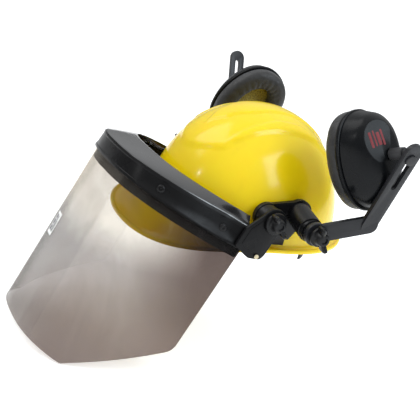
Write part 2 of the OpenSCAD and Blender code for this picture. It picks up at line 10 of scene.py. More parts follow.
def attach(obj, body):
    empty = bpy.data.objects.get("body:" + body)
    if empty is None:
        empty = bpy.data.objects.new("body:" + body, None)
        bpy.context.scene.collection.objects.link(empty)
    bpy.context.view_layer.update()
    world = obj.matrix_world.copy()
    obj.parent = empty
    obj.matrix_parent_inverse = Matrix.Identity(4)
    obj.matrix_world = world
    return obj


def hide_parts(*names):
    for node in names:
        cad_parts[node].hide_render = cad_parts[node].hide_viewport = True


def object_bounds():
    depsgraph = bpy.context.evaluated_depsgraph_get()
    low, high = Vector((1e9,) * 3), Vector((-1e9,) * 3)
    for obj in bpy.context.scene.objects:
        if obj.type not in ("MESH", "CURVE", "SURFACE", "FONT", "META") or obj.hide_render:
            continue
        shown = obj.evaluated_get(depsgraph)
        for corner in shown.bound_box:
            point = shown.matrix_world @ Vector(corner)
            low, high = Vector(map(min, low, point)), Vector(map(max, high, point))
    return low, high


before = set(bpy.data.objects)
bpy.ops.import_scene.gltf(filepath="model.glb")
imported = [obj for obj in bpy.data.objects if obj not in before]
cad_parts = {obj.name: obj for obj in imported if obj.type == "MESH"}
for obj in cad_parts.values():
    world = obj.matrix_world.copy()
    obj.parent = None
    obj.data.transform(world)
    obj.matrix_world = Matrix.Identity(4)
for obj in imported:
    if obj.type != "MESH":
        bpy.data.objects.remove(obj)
cad_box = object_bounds()
MM = 0.001

# ---------------------------------------------------------------- small maths


def power(a, p):
    return math.copysign(abs(a) ** p, a)


def smooth(a):
    t = min(max(a, 0.0), 1.0)
    return t * t * (3 - 2 * t)


def lerp(a, b, t):
    return a + (b - a) * t


def curve(x, points):
    """Smooth value at x through a list of (x, value) points."""
    if x <= points[0][0]:
        return points[0][1]
    for (x0, y0), (x1, y1) in zip(points, points[1:]):
        if x <= x1:
            return lerp(y0, y1, smooth((x - x0) / (x1 - x0)))
    return points[-1][1]


def superpoint(a, b, p, deg):
    r = math.radians(deg)
    return a * power(math.cos(r), 2 / p), b * power(math.sin(r), 2 / p)


# ---------------------------------------------------------------- mesh helpers


def loft(rings, loop=False, cap=True):
    """Quads over a list of closed rings of points; ends capped with a fan, or joined when loop is true."""
    m, n = len(rings), len(rings[0])
    verts = [Vector(p) for r in rings for p in r]
    faces = []
    for i in range(m if loop else m - 1):
        for j in range(n):
            k, i2 = (j + 1) % n, (i + 1) % m
            faces.append((i * n + j, i * n + k, i2 * n + k, i2 * n + j))
    if cap and not loop:
        for base, flip in ((0, True), ((m - 1) * n, False)):
            centre = sum((verts[base + j] for j in range(n)), Vector()) / n
            verts.append(centre)
            c = len(verts) - 1
            for j in range(n):
                k = (j + 1) % n
                faces.append((c, base + k, base + j) if flip else (c, base + j, base + k))
    return verts, faces


def join_parts(*parts):
    verts, faces = [], []
    for v, f in parts:
        base = len(verts)
        verts += v
        faces += [tuple(i + base for i in q) for q in f]
    return verts, faces


def mark_sharp(bm, angle):
    for f in bm.faces:
        f.smooth = True
    limit = math.radians(angle)
    for e in bm.edges:
        if len(e.link_faces) == 2:
            e.smooth = e.calc_face_angle(0) < limit


def finish_bm(bm, name, material, body, stands_for, angle=35):
    bmesh.ops.recalc_face_normals(bm, faces=bm.faces[:])
    mark_sharp(bm, angle)
    me = bpy.data.meshes.new(name)
    bm.to_mesh(me)
    bm.free()
    ob = bpy.data.objects.new(name, me)
    bpy.context.scene.collection.objects.link(ob)
    me.materials.append(material)
    if stands_for:
        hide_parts(*stands_for)
    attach(ob, body)
    return ob


def piece(name, part, material, body, stands_for=(), angle=35, place=None, subdivide=0):
    """A mesh piece from (verts in mm, faces), put in the row frame by place."""
    verts, faces = part
    bm = bmesh.new()
    made = [bm.verts.new((place @ v if place else v) * MM) for v in verts]
    for f in faces:
        if len(set(f)) > 2:
            try:
                bm.faces.new([made[i] for i in f])
            except ValueError:
                pass
    bmesh.ops.remove_doubles(bm, verts=bm.verts[:], dist=1e-6)
    ob = finish_bm(bm, name, material, body, stands_for, angle)
    if subdivide:
        mod = ob.modifiers.new("smooth", "SUBSURF")
        mod.levels = mod.render_levels = subdivide
    return ob


def softened(node, material, body, width=0.6, segments=2, angle=32, name=None):
    """A copy of a CAD solid with its hard edges rounded."""
    bm = bmesh.new()
    bm.from_mesh(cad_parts[node].data)
    bmesh.ops.remove_doubles(bm, verts=bm.verts[:], dist=2e-6)
    bmesh.ops.dissolve_limit(bm, angle_limit=math.radians(0.6), verts=bm.verts[:], edges=bm.edges[:])
    limit = math.radians(angle)
    hard = [e for e in bm.edges if len(e.link_faces) == 2 and e.calc_face_angle(0) > limit]
    bmesh.ops.bevel(bm, geom=hard, offset=width * MM, segments=segments, profile=0.5,
                    affect="EDGES", clamp_overlap=True)
    bmesh.ops.remove_doubles(bm, verts=bm.verts[:], dist=1e-6)
    return finish_bm(bm, name or node + "_piece", material, body, [node], 28)


def rounded(points, radii, steps=6):
    """A polygon with its corners rounded."""
    out = []
    n = len(points)
    for i, p in enumerate(points):
        a, b, c = Vector(points[i - 1]), Vector(p), Vector(points[(i + 1) % n])
        r = radii[i] if isinstance(radii, (list, tuple)) else radii
        u, v = (a - b), (c - b)
        cut = min(r, u.length * 0.45, v.length * 0.45)
        if cut < 0.05:
            out.append(b)
            continue
        s, e = b + u.normalized() * cut, b + v.normalized() * cut
        for k in range(steps + 1):
            t = k / steps
            out.append((1 - t) ** 2 * s + 2 * t * (1 - t) * b + t * t * e)
    return out


def plate(outline, x0, x1, edge):
    """A flat plate from x0 to x1 with rounded edges; outline is in (y, z)."""
    rings = []
    for x, inset in ((x0, edge), (x0 + edge * 0.3, edge * 0.3), (x0 + edge, 0),
                     (x1 - edge, 0), (x1 - edge * 0.3, edge * 0.3), (x1, edge)):
        ring = []
        n = len(outline)
        for i, p in enumerate(outline):
            t = (outline[(i + 1) % n] - outline[i - 1]).normalized()
            nrm = Vector((t.y, -t.x))
            q = p - nrm * inset
            ring.append(Vector((x, q.x, q.y)))
        rings.append(ring)
    return loft(rings)


def revolve(profile, n=64):
    """Solid of revolution about X; profile is a list of (x, r)."""
    rings = [[Vector((x, r * math.cos(2 * math.pi * j / n), r * math.sin(2 * math.pi * j / n)))
              for j in range(n)] for x, r in profile]
    return loft(rings)


def moved(part, matrix):
    return [matrix @ v for v in part[0]], part[1]


MIRROR = Matrix.Diagonal((-1, 1, 1, 1))

# ---------------------------------------------------------------- materials


class Nodes:
    """Shorthand for building one material's node tree."""

    def __init__(self, name):
        self.mat = bpy.data.materials.new(name)
        self.mat.use_nodes = True
        self.tree = self.mat.node_tree
        self.bsdf = self.tree.nodes["Principled BSDF"]
        self.coord = self.tree.nodes.new("ShaderNodeTexCoord").outputs["Object"]

    def node(self, kind, **inputs):
        n = self.tree.nodes.new("ShaderNode" + kind)
        for key, value in inputs.items():
            self.put(n, key, value)
        return n

    def put(self, n, key, value):
        k = key.replace("_", " ")
        if isinstance(value, bpy.types.NodeSocket):
            self.tree.links.new(value, n.inputs[k])
        else:
            n.inputs[k].default_value = value

    def noise(self, scale, detail=4, rough=0.55, stretch=None, distortion=0.0):
        vec = self.coord
        if stretch:
            m = self.node("Mapping", Vector=vec)
            m.inputs["Scale"].default_value = stretch
            vec = m.outputs[0]
        n = self.node("TexNoise", Vector=vec, Scale=scale, Detail=detail, Roughness=rough)
        n.inputs["Distortion"].default_value = distortion
        return n.outputs["Fac"]

    def voronoi(self, scale, feature="F1", out="Distance"):
        n = self.tree.nodes.new("ShaderNodeTexVoronoi")
        n.feature = feature
        self.tree.links.new(self.coord, n.inputs["Vector"])
        n.inputs["Scale"].default_value = scale
        return n.outputs[out]

    def ramp(self, value, stops):
        r = self.tree.nodes.new("ShaderNodeValToRGB")
        self.tree.links.new(value, r.inputs[0])
        e = r.color_ramp.elements
        while len(e) < len(stops):
            e.new(0.5)
        for el, (pos, col) in zip(e, stops):
            el.position = pos
            el.color = (col, col, col, 1) if isinstance(col, (int, float)) else (*col, 1)
        return r.outputs[0]

    def mix(self, fac, a, b, blend="MIX"):
        m = self.tree.nodes.new("ShaderNodeMix")
        m.data_type = "RGBA"
        m.blend_type = blend
        for sock, value in ((m.inputs[0], fac), (m.inputs[6], a), (m.inputs[7], b)):
            if isinstance(value, bpy.types.NodeSocket):
                self.tree.links.new(value, sock)
            elif isinstance(value, (int, float)):
                sock.default_value = value
            else:
                sock.default_value = (*value, 1)
        return m.outputs[2]

    def math(self, op, a, b=0.5):
        m = self.tree.nodes.new("ShaderNodeMath")
        m.operation = op
        for sock, value in ((m.inputs[0], a), (m.inputs[1], b)):
            if isinstance(value, bpy.types.NodeSocket):
                self.tree.links.new(value, sock)
            else:
                sock.default_value = value
        return m.outputs[0]

    def bump(self, height, strength, distance, normal=None):
        b = self.node("Bump", Height=height, Strength=strength, Distance=distance)
        if normal is not None:
            self.tree.links.new(normal, b.inputs["Normal"])
        return b.outputs[0]

    def pointy(self):
        return self.tree.nodes.new("ShaderNodeNewGeometry").outputs["Pointiness"]

    def set(self, **values):
        for key, value in values.items():
            self.put(self.bsdf, key, value)
        return self.mat


def moulded(name, color, light, rough, grain=900, grain_depth=0.00006, strength=0.35, wear=0.5, coat=0.0,
            shine=0.12):
    """Moulded plastic: fine grain, handling marks and paler worn edges."""
    n = Nodes(name)
    patch = n.ramp(n.noise(18, 5), [(0.35, 0.0), (0.7, 1.0)])
    scuff = n.ramp(n.noise(160, 3, 0.6, stretch=(1, 0.25, 0.6), distortion=0.6), [(0.62, 0.0), (0.72, 1.0)])
    base = n.mix(patch, color, light)
    base = n.mix(n.math("MULTIPLY", scuff, 0.12), base, [min(1, c * 2.4 + 0.02) for c in color])
    edge = n.ramp(n.pointy(), [(0.52, 0.0), (0.60, 1.0)])
    edge = n.math("MULTIPLY", edge, n.math("MULTIPLY", n.noise(90, 3), wear))
    base = n.mix(edge, base, [min(1, c * 3 + 0.05) for c in color])
    r = n.ramp(n.noise(35, 4), [(0.3, rough - 0.06), (0.7, rough + 0.10)])
    r = n.mix(n.math("MULTIPLY", scuff, 0.5), r, (rough + 0.25,) * 3)
    fine = n.noise(grain, 2, 0.5)
    nrm = n.bump(fine, strength, grain_depth)
    nrm = n.bump(n.noise(30, 2), 0.12, 0.0004, nrm)
    n.bsdf.inputs["Specular IOR Level"].default_value = shine
    n.bsdf.inputs["Coat Weight"].default_value = coat
    n.bsdf.inputs["Coat Roughness"].default_value = 0.12
    return n.set(Base_Color=base, Roughness=r, Normal=nrm)


def yellow_shell():
    n = Nodes("shell_yellow")
    patch = n.ramp(n.noise(9, 3), [(0.3, (0.76, 0.555, 0.004)), (0.7, (0.80, 0.60, 0.006))])
    dirt = n.ramp(n.noise(42, 6, 0.62), [(0.58, 0.0), (0.76, 1.0)])
    base = n.mix(n.math("MULTIPLY", dirt, 0.16), patch, (0.55, 0.36, 0.01))
    scratch = n.ramp(n.noise(260, 2, 0.4, stretch=(0.10, 1, 0.4), distortion=0.8), [(0.70, 0.0), (0.76, 1.0)])
    base = n.mix(n.math("MULTIPLY", scratch, 0.10), base, (0.88, 0.72, 0.12))
    r = n.ramp(n.noise(24, 4), [(0.3, 0.13), (0.75, 0.23)])
    r = n.mix(n.math("MULTIPLY", scratch, 0.3), r, (0.45, 0.45, 0.45))
    nrm = n.bump(n.noise(55, 2), 0.05, 0.0005)
    nrm = n.bump(scratch, 0.05, 0.0001, nrm)
    n.bsdf.inputs["Specular IOR Level"].default_value = 0.26
    n.bsdf.inputs["Coat Weight"].default_value = 0.08
    n.bsdf.inputs["Coat Roughness"].default_value = 0.06
    n.bsdf.inputs["IOR"].default_value = 1.53
    n.bsdf.inputs["Subsurface Weight"].default_value = 0.40
    n.bsdf.inputs["Subsurface Radius"].default_value = (1.0, 0.62, 0.05)
    n.bsdf.inputs["Subsurface Scale"].default_value = 0.006
    return n.set(Base_Color=base, Roughness=r, Normal=nrm)


def clear_sheet():
    """Clear plastic with a tinted film. The darker tint over its left side is grime and painted shade, the
    deepest tint at the rear top corner by the carrier is painted shade, and a clearer patch high at the front
    is painted light on the peak behind it.
    """
    n = Nodes("sheet_clear")
    axes = n.node("SeparateXYZ", Vector=n.coord).outputs
    leftward = n.math("ADD", n.math("MULTIPLY", axes[0], 5.0), 0.5)
    rearward = n.math("ADD", n.math("MULTIPLY", axes[1], 6.0), 1.2)
    upward = n.math("ADD", n.math("MULTIPLY", axes[2], 6.0), 0.9)
    side = n.ramp(leftward, [(0.06, 0.0), (0.22, 1.0)])
    turn = n.ramp(leftward, [(0.30, 0.0), (0.85, 1.0)])
    rear = n.ramp(rearward, [(0.16, 0.0), (0.62, 1.0)])
    high = n.ramp(upward, [(0.25, 0.0), (0.95, 1.0)])
    smear = n.ramp(n.noise(13, 6, 0.62, stretch=(1, 1, 0.5), distortion=0.9), [(0.38, 0.0), (0.70, 1.0)])
    wipe = n.ramp(n.noise(60, 5, 0.7, stretch=(1, 1, 0.14), distortion=0.5), [(0.50, 0.0), (0.80, 1.0)])
    spots = n.ramp(n.voronoi(260), [(0.04, 1.0), (0.13, 0.0)])
    # tint of the left side, darker further left, lower down and towards the rear: partly smoky grime, partly
    # painted shade
    grime_and_shade = n.mix(n.math("MULTIPLY", turn, n.math("SUBTRACT", 1.0, high)), (0.665, 0.662, 0.658),
                  (0.590, 0.548, 0.533))
    grime_and_shade = n.mix(rear, grime_and_shade, (0.455, 0.400, 0.382))
    tint = n.mix(side, (0.990, 0.990, 0.988), grime_and_shade)
    # darkest tint at the rear top corner by the carrier: painted shade
    tint = n.mix(n.math("MULTIPLY", n.math("MULTIPLY", rear, high), side), tint, (0.255, 0.215, 0.200))
    # clearer patch high at the front, before the peak: painted light that lets the peak behind it show
    # brighter
    peak_light_patch = n.ramp(upward, [(0.68, 0.0), (0.92, 1.0)])
    peak_light_patch = n.math("MULTIPLY", n.math("MULTIPLY", peak_light_patch, n.math("SUBTRACT", 1.0, rear)), side)
    tint = n.mix(peak_light_patch, tint, (0.850, 0.825, 0.780))
    tint = n.mix(n.math("MULTIPLY", n.math("MULTIPLY", smear, 0.25), side), tint, (0.46, 0.41, 0.39))
    film = n.math("ADD", n.math("MULTIPLY", smear, 0.015), n.math("MULTIPLY", wipe, 0.035))
    film = n.math("ADD", film, n.math("MULTIPLY", spots, 0.07))
    gloss = n.node("Fresnel", IOR=1.45).outputs[0]
    film = n.math("MULTIPLY", film, n.math("ADD", side, 0.15))
    film = n.math("ADD", n.math("ADD", film, 0.004), n.math("MULTIPLY", gloss, 0.16))
    rough = n.math("ADD", n.math("MULTIPLY", wipe, 0.12), 0.06)
    n.bsdf.inputs["Specular IOR Level"].default_value = 1.0
    n.set(Base_Color=n.mix(smear, (0.50, 0.49, 0.48), (0.36, 0.33, 0.31)), Roughness=rough)
    through = n.node("BsdfTransparent", Color=tint)
    both = n.node("MixShader", Fac=film)
    n.tree.links.new(through.outputs[0], both.inputs[1])
    n.tree.links.new(n.bsdf.outputs[0], both.inputs[2])
    n.tree.links.new(both.outputs[0], n.tree.nodes["Material Output"].inputs["Surface"])
    return n.mat


def leatherette():
    n = Nodes("cushion_leatherette")
    cells = n.voronoi(520, "DISTANCE_TO_EDGE")
    crack = n.ramp(cells, [(0.0, 0.0), (0.10, 1.0)])
    crease = n.ramp(n.noise(70, 5, 0.6, distortion=1.4), [(0.40, 0.0), (0.60, 1.0)])
    base = n.mix(crease, (0.007, 0.007, 0.0075), (0.016, 0.016, 0.017))
    base = n.mix(n.math("MULTIPLY", n.math("SUBTRACT", 1.0, crack), 0.5), base, (0.003, 0.003, 0.0035))
    r = n.ramp(n.noise(40, 4), [(0.3, 0.38), (0.7, 0.55)])
    n.bsdf.inputs["Specular IOR Level"].default_value = 0.4
    nrm = n.bump(crack, 0.35, 0.00012)
    nrm = n.bump(crease, 0.35, 0.0007, nrm)
    n.bsdf.inputs["Sheen Weight"].default_value = 0.12
    return n.set(Base_Color=base, Roughness=r, Normal=nrm)


def open_foam():
    n = Nodes("ear_foam_open")
    pores = n.voronoi(620)
    hole = n.ramp(pores, [(0.15, 0.0), (0.55, 1.0)])
    # mustard colour: dark foam with painted yellow bounce light from the shell
    base = n.mix(hole, (0.085, 0.068, 0.016), (0.34, 0.285, 0.085))
    base = n.mix(n.math("MULTIPLY", n.noise(40, 3), 0.5), base, (0.22, 0.18, 0.06))
    nrm = n.bump(hole, 0.9, 0.0006)
    return n.set(Base_Color=base, Roughness=0.95, Normal=nrm)


def webbing():
    n = Nodes("strap_woven")
    wave = n.tree.nodes.new("ShaderNodeTexWave")
    wave.inputs["Scale"].default_value = 260
    wave.inputs["Distortion"].default_value = 1.2
    n.tree.links.new(n.coord, wave.inputs["Vector"])
    cross = n.tree.nodes.new("ShaderNodeTexWave")
    cross.bands_direction = "Z"
    cross.inputs["Scale"].default_value = 210
    n.tree.links.new(n.coord, cross.inputs["Vector"])
    weave = n.math("MULTIPLY", wave.outputs["Fac"], cross.outputs["Fac"])
    base = n.mix(weave, (0.014, 0.014, 0.015), (0.06, 0.06, 0.064))
    base = n.mix(n.math("MULTIPLY", n.noise(30, 4), 0.3), base, (0.05, 0.048, 0.045))
    nrm = n.bump(weave, 0.7, 0.0003)
    n.bsdf.inputs["Sheen Weight"].default_value = 0.3
    return n.set(Base_Color=base, Roughness=0.85, Normal=nrm)


def towelling():
    n = Nodes("sweatband_towelling")
    loops = n.voronoi(900)
    base = n.mix(n.ramp(loops, [(0.1, 1.0), (0.6, 0.0)]), (0.03, 0.03, 0.034), (0.09, 0.09, 0.10))
    nrm = n.bump(loops, 0.8, 0.0004)
    n.bsdf.inputs["Sheen Weight"].default_value = 0.5
    return n.set(Base_Color=base, Roughness=0.95, Normal=nrm)


def pale_plain(name, color, rough):
    n = Nodes(name)
    base = n.mix(n.math("MULTIPLY", n.noise(60, 4), 0.4), color, [c * 0.8 for c in color])
    return n.set(Base_Color=base, Roughness=rough, Normal=n.bump(n.noise(400, 2), 0.1, 0.0001))


YELLOW = yellow_shell()
CARRIER = moulded("carrier_black", (0.0032, 0.0032, 0.0034), (0.0066, 0.0066, 0.007), 0.28, 700, wear=0.2)
GUARD = moulded("guard_gloss_black", (0.006, 0.006, 0.0065), (0.010, 0.010, 0.011), 0.16, 300, 0.00003, 0.2,
                0.15, coat=0.6, shine=0.6)
STRIP = moulded("strip_grey_black", (0.016, 0.016, 0.017), (0.026, 0.026, 0.028), 0.42)
FITTING = moulded("fitting_black", (0.003, 0.003, 0.0033), (0.007, 0.007, 0.0076), 0.26, 900, wear=0.25,
                  shine=0.2)
ARM = moulded("arm_black", (0.007, 0.0075, 0.009), (0.013, 0.0135, 0.016), 0.36, 800, wear=0.35, shine=0.3)
CUP = moulded("cup_black", (0.0026, 0.003, 0.0036), (0.0048, 0.0055, 0.0066), 0.26, 1300, 0.00008, 0.4, 0.1,
              0.0, 0.14)
PIN = moulded("pin_dark", (0.020, 0.020, 0.021), (0.045, 0.045, 0.047), 0.34)
HARNESS = moulded("harness_black", (0.016, 0.016, 0.017), (0.030, 0.030, 0.032), 0.48)
RED = moulded("red_print", (0.33, 0.035, 0.025), (0.42, 0.05, 0.035), 0.5, wear=0.2)
PRINT = moulded("faded_red_print", (0.16, 0.028, 0.032), (0.20, 0.045, 0.050), 0.5, wear=0.1)
CREAM = moulded("cream_stud", (0.55, 0.47, 0.30), (0.64, 0.56, 0.38), 0.45, wear=0.1)
SHEET = clear_sheet()
LEATHER = leatherette()
FOAM = open_foam()
WEB = webbing()
TOWEL = towelling()
LABEL = pale_plain("label_film", (0.80, 0.80, 0.79), 0.5)
INK = pale_plain("label_ink", (0.05, 0.05, 0.055), 0.6)

# ---------------------------------------------------------------- helmet shell

RIM_HALF, RIM_REAR, PEAK, PEAK_DROP, FLARE = 110.0, 131.0, 157.0, 15.0, 0.46
DOME_W, DOME_F, DOME_R, DOME_H, DOME_P, RIM_P = 101.0, 120.0, 116.0, 138.0, 2.1, 2.15
WALL, LIP_T, GUTTER, FOOT_RISE = 2.8, 4.5, 2.0, 10.0


def rim_pt(deg, inset, z):
    c, s = math.cos(math.radians(deg)), math.sin(math.radians(deg))
    k = max(c, 0.0)
    y = -(PEAK - inset) * c if c > 0 else (RIM_REAR - inset) * (-c) ** (2 / RIM_P)
    return Vector(((RIM_HALF - inset) * power(s, 2 / RIM_P) * (1 + FLARE * k * k), y, z - PEAK_DROP * k * k))


def foot_z(deg):
    return LIP_T + GUTTER + FOOT_RISE * max(math.cos(math.radians(deg)), 0) ** 2


def relief(x, y, z):
    """Height of the moulded panels and ribs above the plain dome."""
    if z < 20:
        return 0.0
    ax = abs(x)
    rib = curve(y, [(-78, 0.5), (-57, 12), (-31, 20), (11, 19), (60, 17), (95, 12)])
    crown = smooth((rib + 1.9 - ax) / 4.4) * smooth((y + 80) / 6) * smooth((98 - y) / 10)
    mid = curve(y, [(-70, 43), (-54, 44), (-31, 44), (-5, 42), (22, 41.5), (49, 43)])
    half = curve(y, [(-72, 0.3), (-50, 3.8), (-31, 5.0), (-5, 7.0), (22, 6.5), (49, 1.2)])
    side = smooth((half + 1.7 - abs(ax - mid)) / 3.5) * smooth((y + 73) / 6) * smooth((52 - y) / 8)
    front = -101 + 20 * (x / 41) ** 2
    panel = smooth((50.5 - ax) / 6.5) * smooth((y - front) / 6) * smooth((96 - y) / 14)
    return 1.6 * panel + 1.9 * crown + 1.5 * side


def dome_pt(deg, up, inset, ribs=1.0):
    c, s = math.cos(math.radians(deg)), math.sin(math.radians(deg))
    r = max(math.cos(math.radians(up)), 0) ** (2 / DOME_P)
    h = max(math.sin(math.radians(up)), 0) ** (2 / DOME_P)
    reach = DOME_F if c > 0 else DOME_R
    x, y = DOME_W * r * power(s, 2 / DOME_P), -reach * r * power(c, 2 / DOME_P)
    more = relief(x, y, DOME_H * h) * ribs - inset
    return Vector((x * (1 + more / DOME_W), y * (1 + more / reach), (DOME_H + more) * h))


def up_at(z):
    return math.degrees(math.asin(min(1, max(z, 0) / DOME_H) ** (DOME_P / 2)))


def build_shell():
    n = 256
    th = [360 * j / n for j in range(n)]
    rings = []
    steps = 88
    for i in range(steps):
        s = (i / steps)
        s = 1 - (1 - s) ** 1.1
        rings.append([dome_pt(a, 89.6 - s * (89.6 - up_at(foot_z(a) + 3.0)), 0) for a in th])
    foot = [dome_pt(a, up_at(foot_z(a)), 0) for a in th]

    def between(f, drop, inset=6.5, z=LIP_T - 0.4):
        ring = []
        for j, a in enumerate(th):
            q = rim_pt(a, inset, z)
            p = foot[j].lerp(q, f)
            p.z -= drop
            ring.append(p)
        return ring

    rings.append([p + Vector((0, 0, 1.2)) for p in foot])
    rings += [between(0.10, 0.5), between(0.3, 1.1), between(0.55, 1.2), between(0.8, 1.0), between(1.0, 0.5)]
    for inset, z in ((4.6, 3.9), (3.6, 4.5), (2.6, 5.0), (1.5, 4.9), (0.8, 4.2), (0.55, 3.0), (0.6, 1.4),
                     (1.0, 0.5), (1.9, 0.1), (4.0, 0.6), (7.0, 1.0)):
        rings.append([rim_pt(a, inset, z) for a in th])
    inner_foot = []
    for a in th:
        p = dome_pt(a, up_at(foot_z(a) - LIP_T), WALL, 0)
        inner_foot.append(Vector((p.x, p.y, foot_z(a) - LIP_T - GUTTER + 0.6)))
    last = rings[-1]
    rings.append([last[j].lerp(inner_foot[j], 0.5) for j in range(n)])
    rings.append([last[j].lerp(inner_foot[j], 0.92) for j in range(n)])
    rings.append(inner_foot)
    for i in range(1, 41):
        s = (i / 40) ** 1.1
        rings.append([dome_pt(a, lerp(up_at(foot_z(a) - 1), 89.4, s), WALL, 0.5) for a in th])
    return loft(rings)


piece("shell", build_shell(), YELLOW, "helmet", ["helmet_shell"], angle=50)

# ---------------------------------------------------------------- suspension

BAND_W, BAND_L = 78.0, 95.0


def strip_ring(section, a, b, p, n=160, span=None):
    """A strap of the given section (offset inward, z) run round an oval, or along part of it."""
    rings = []
    lo, hi = span if span else (0, 360)
    for i in range(n + (1 if span else 0)):
        deg = lerp(lo, hi, i / n)
        x, y = superpoint(a, b, p, deg)
        x2, y2 = superpoint(a, b, p, deg + 0.5)
        x1, y1 = superpoint(a, b, p, deg - 0.5)
        t = Vector((x2 - x1, y2 - y1)).normalized()
        nrm = Vector((t.y, -t.x))
        rings.append([Vector((x - nrm.x * d, y - nrm.y * d, z)) for d, z in section])
    return loft(rings, loop=span is None)


def ribbed_section(t, z0, z1):
    """A moulded band with two raised edges and a middle rib."""
    pts = [(0.6, z0)]
    for z, d in ((z0 + 0.6, 0), (z0 + 3, 0), (z0 + 3.6, 0.6), (z0 + 12, 0.6), (z0 + 12.6, 0.1),
                 (z0 + 15, 0.1), (z0 + 15.6, 0.6), (z1 - 3.6, 0.6), (z1 - 3, 0), (z1 - 0.6, 0)):
        pts.append((d, z))
    return pts + [(0.6, z1), (t - 0.6, z1), (t, z1 - 0.6), (t, z0 + 0.6), (t - 0.6, z0)]


piece("headband_moulded", strip_ring(ribbed_section(2, -4, 24), BAND_W, BAND_L, 2.2), HARNESS, "helmet",
      ["headband"])


def pad_section(t, z0, z1):
    mid, half = (z0 + z1) / 2, (z1 - z0) / 2
    pts = []
    for k in range(20):
        a = 2 * math.pi * k / 20
        c, s = math.cos(a), math.sin(a)
        pts.append((t / 2 - power(c, 0.7) * t / 2, mid + power(s, 0.55) * half))
    return pts


sweat = piece("brow_pad", strip_ring(pad_section(4, -2, 22), BAND_W - 2.3, BAND_L - 2.3, 2.2, 90,
                                     (216, 324)), TOWEL, "helmet", ["sweatband"])


def strap_part(angle, lift, span):
    """Webbing arch across the crown with turned ends."""
    rings = []
    n = 96
    for i in range(n + 1):
        a = math.radians(180 * i / n)
        u = span * power(math.cos(a), 2 / 2.4)
        w = 30 + (70 + lift) * max(math.sin(a), 0) ** (2 / 2.4)
        a2 = math.radians(min(180, max(0, 180 * (i + 0.5) / n)))
        a1 = math.radians(min(180, max(0, 180 * (i - 0.5) / n)))
        d = Vector((span * (power(math.cos(a2), 2 / 2.4) - power(math.cos(a1), 2 / 2.4)),
                    (70 + lift) * (max(math.sin(a2), 0) ** (2 / 2.4) - max(math.sin(a1), 0) ** (2 / 2.4))))
        d = d.normalized() if d.length > 1e-6 else Vector((0, 1))
        nrm = Vector((d.y, -d.x))
        ring = []
        for v, off in ((-9, 0.8), (-8.6, 0.15), (-7.6, 0), (-6.2, 0.22), (-3, 0.1), (0, 0.22), (3, 0.1),
                       (6.2, 0.22), (7.6, 0), (8.6, 0.15), (9, 0.8), (8.6, 1.45), (7.6, 1.6), (0, 1.5),
                       (-7.6, 1.6), (-8.6, 1.45)):
            ring.append(Vector((u - nrm.x * off, v, w - nrm.y * off)))
        rings.append(ring)
    part = loft(rings)
    return moved(part, Matrix.Rotation(math.radians(angle), 4, "Z"))


for nm, ang, lift, span in (("front", 58, 0, 95), ("middle", 0, 2.4, 82.5), ("rear", -58, 4.8, 95)):
    piece("crown_webbing_" + nm, strap_part(ang, lift, span), WEB, "helmet",
          ["crown_strap_" + nm])

softened("harness_clips", HARNESS, "helmet", 0.9)
softened("chin_strap_lugs", HARNESS, "helmet", 0.5)
softened("nape_strap", HARNESS, "nape_band", 0.5)
softened("nape_housing", HARNESS, "helmet", 1.2)
softened("nape_knob", FITTING, "nape_dial", 0.6)
softened("nape_cap", RED, "nape_dial", 0.4)

# ---------------------------------------------------------------- face shield

PIVOT_Y, PIVOT_Z, TILT = -32.5, 42.0, 21.0
CW, CREACH, C_T, START = 118.0, 152.5, 3.0, 2.2
TOP_W, LOW, TOP, DIP, HEAD = 109.0, -44.9, -18.3, 4.7, 14.0
shield_place = Matrix.Translation((0, PIVOT_Y, PIVOT_Z)) @ Matrix.Rotation(math.radians(-TILT), 4, "X")


def front_share(t):
    return max(math.cos(math.radians(t)), 0) ** 0.92


def bow(w, f, t, z):
    s = math.sin(math.radians(t))
    return Vector((w * power(s, 0.77), -(START + (f - START) * front_share(t)), z))


def top_w(t):
    return TOP_W + (CW - TOP_W) * smooth((abs(t) - 74) / 14)


def band_top(t):
    return TOP - DIP * front_share(t)


def wall_pt(t, z, d, lean=0.0):
    k = max(z - LOW, 0) / (band_top(t) - LOW)
    return bow(CW + k * (top_w(t) - CW) - C_T - d, CREACH + k - C_T - d - lean, t, z)


def spaced(lo, hi, n):
    """Parameter values between two angles that step evenly along the bow."""
    fine = [lerp(lo, hi, i / 2000) for i in range(2001)]
    run = [0.0]
    for a, b in zip(fine, fine[1:]):
        run.append(run[-1] + (bow(CW, CREACH, b, 0) - bow(CW, CREACH, a, 0)).length)
    out, j = [], 0
    for i in range(n + 1):
        want = run[-1] * i / n
        while j < 2000 and run[j + 1] < want:
            j += 1
        part = (want - run[j]) / max(run[min(j + 1, 2000)] - run[j], 1e-9)
        out.append((fine[j] + (fine[min(j + 1, 2000)] - fine[j]) * part, want - run[-1] / 2))
    return out


def build_band():
    rings = []
    for t, _ in spaced(-89.9, 89.9, 220):
        top = band_top(t)
        h = top - LOW
        sec = []
        for z, d in ((LOW, -2.2), (LOW + 0.25, -2.8), (LOW + 0.9, -3.0), (LOW + 3.2, -3.0), (LOW + 3.9, -2.5),
                     (LOW + h * 0.5, -2.55), (top - 3.6, -2.5), (top - 3.0, -3.0), (top - 0.9, -3.0),
                     (top - 0.25, -2.8), (top, -2.2), (top, -0.8), (top - 0.25, -0.2), (top - 0.9, 0),
                     (LOW + 0.9, 0), (LOW + 0.25, -0.2), (LOW, -0.8)):
            sec.append(wall_pt(t, z, d))
        rings.append(sec)
    return loft(rings)


